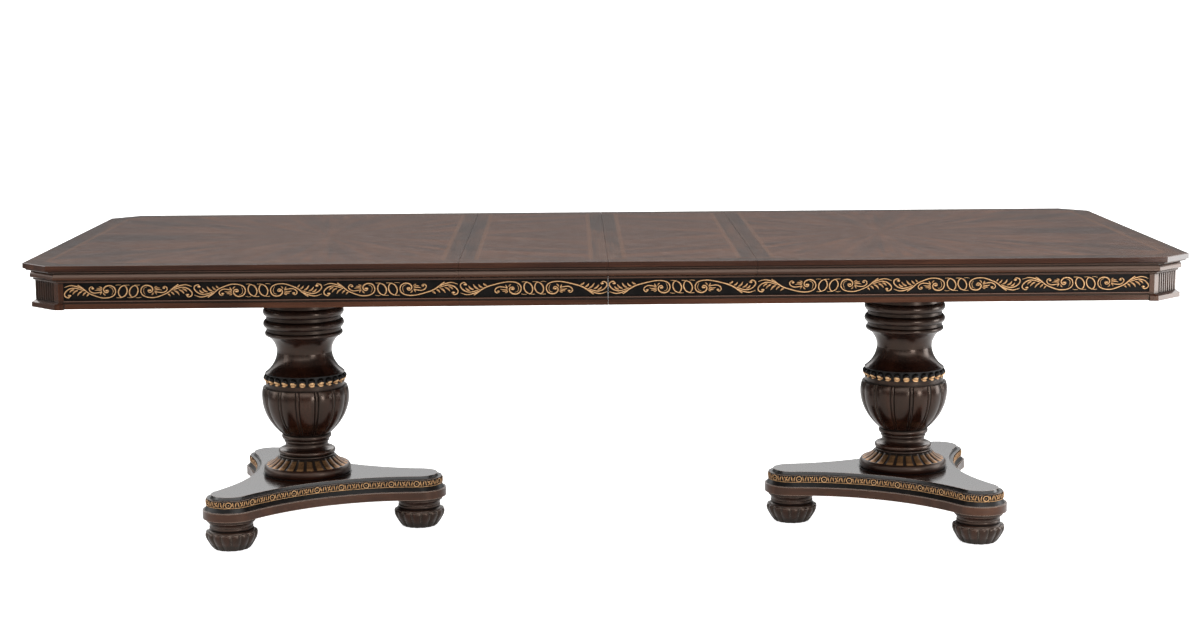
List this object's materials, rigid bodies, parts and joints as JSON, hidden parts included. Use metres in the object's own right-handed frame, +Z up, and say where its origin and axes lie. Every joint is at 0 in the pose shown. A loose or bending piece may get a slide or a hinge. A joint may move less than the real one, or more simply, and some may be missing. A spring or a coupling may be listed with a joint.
{
  "type": "double pedestal dining table",
  "caption": "Long canted-corner extension dining table with drop-in leaves, carved gilt frieze and turned urn pedestals on hollow-sided plinths with gadrooned bun feet.",
  "frame": {"origin": "on the floor, under the middle of the top, at the middle of the overall box's base", "axes": "+X along the table's length, +Z up, front towards -Y"},
  "size_m": [2.804, 1.172, 0.775],
  "materials": {
    "veneered_top": "satin-gloss lacquered dark mahogany veneer with crossbanded borders",
    "mahogany_frame": "satin-gloss lacquered dark reddish mahogany with worn, darkened recesses",
    "ebonised_frieze": "ebonised wood ground with antique-gilt carving",
    "antique_gilt": "carved wood with rubbed antique gilding over a dark ground",
    "slide_hardwood": "plain sanded hardwood, waxed on the running faces",
    "steel": "zinc-plated steel",
    "glide_plastic": "dark moulded plastic"
  },
  "bodies": {
    "left_half": {"left_alignment_pins": "steel", "left_apron_bands": "mahogany_frame", "left_back_apron": "ebonised_frieze", "left_back_corner_block": "mahogany_frame", "left_bead_ring": "antique_gilt", "left_column_neck": "mahogany_frame", "left_column_stem": "mahogany_frame", "left_cornice": "mahogany_frame", "left_end_apron": "ebonised_frieze", "left_foot_glides": "glide_plastic", "left_front_apron": "ebonised_frieze", "left_front_corner_block": "mahogany_frame", "left_inner_foot": "mahogany_frame", "left_leaf_collar": "antique_gilt", "left_outer_back_foot": "mahogany_frame", "left_outer_front_foot": "mahogany_frame", "left_pedestal_cleats": "slide_hardwood", "left_pedestal_top_plate": "slide_hardwood", "left_plinth_band": "ebonised_frieze", "left_plinth_base": "mahogany_frame", "left_plinth_cap": "mahogany_frame", "left_slides": "slide_hardwood", "left_tie_rod": "steel", "left_top_panel": "veneered_top", "left_urn_bowl": "mahogany_frame"},
    "right_half": {"right_alignment_pins": "steel", "right_apron_bands": "mahogany_frame", "right_back_apron": "ebonised_frieze", "right_back_corner_block": "mahogany_frame", "right_bead_ring": "antique_gilt", "right_column_neck": "mahogany_frame", "right_column_stem": "mahogany_frame", "right_cornice": "mahogany_frame", "right_end_apron": "ebonised_frieze", "right_foot_glides": "glide_plastic", "right_front_apron": "ebonised_frieze", "right_front_corner_block": "mahogany_frame", "right_inner_foot": "mahogany_frame", "right_leaf_collar": "antique_gilt", "right_outer_back_foot": "mahogany_frame", "right_outer_front_foot": "mahogany_frame", "right_pedestal_cleats": "slide_hardwood", "right_pedestal_top_plate": "slide_hardwood", "right_plinth_band": "ebonised_frieze", "right_plinth_base": "mahogany_frame", "right_plinth_cap": "mahogany_frame", "right_slides": "slide_hardwood", "right_tie_rod": "steel", "right_top_panel": "veneered_top", "right_urn_bowl": "mahogany_frame"},
    "centre_slides": {"centre_slides": "slide_hardwood"},
    "leaf_1": {"leaf_1_alignment_pins": "steel", "leaf_1_aprons": "ebonised_frieze", "leaf_1_bands": "mahogany_frame", "leaf_1_cornices": "mahogany_frame", "leaf_1_panel": "veneered_top"},
    "leaf_2": {"leaf_2_aprons": "ebonised_frieze", "leaf_2_bands": "mahogany_frame", "leaf_2_cornices": "mahogany_frame", "leaf_2_panel": "veneered_top"}
  },
  "joints": [
    {"name": "top_extension", "type": "slide", "parent": "left_half", "child": "right_half", "axis": [1, 0, 0], "range_m": [0, 0.045]},
    {"name": "centre_slide_travel", "type": "slide", "parent": "left_half", "child": "centre_slides", "axis": [1, 0, 0], "range_m": [0, 0.0225]},
    {"name": "leaf_1_lift", "type": "slide", "parent": "left_half", "child": "leaf_1", "axis": [0, 0, 1], "range_m": [0, 0.25]},
    {"name": "leaf_2_lift", "type": "slide", "parent": "leaf_1", "child": "leaf_2", "axis": [0, 0, 1], "range_m": [0, 0.25]}
  ],
  "couplings": [
    {"joint": "centre_slide_travel", "follows": "top_extension", "ratio": 0.5}
  ]
}
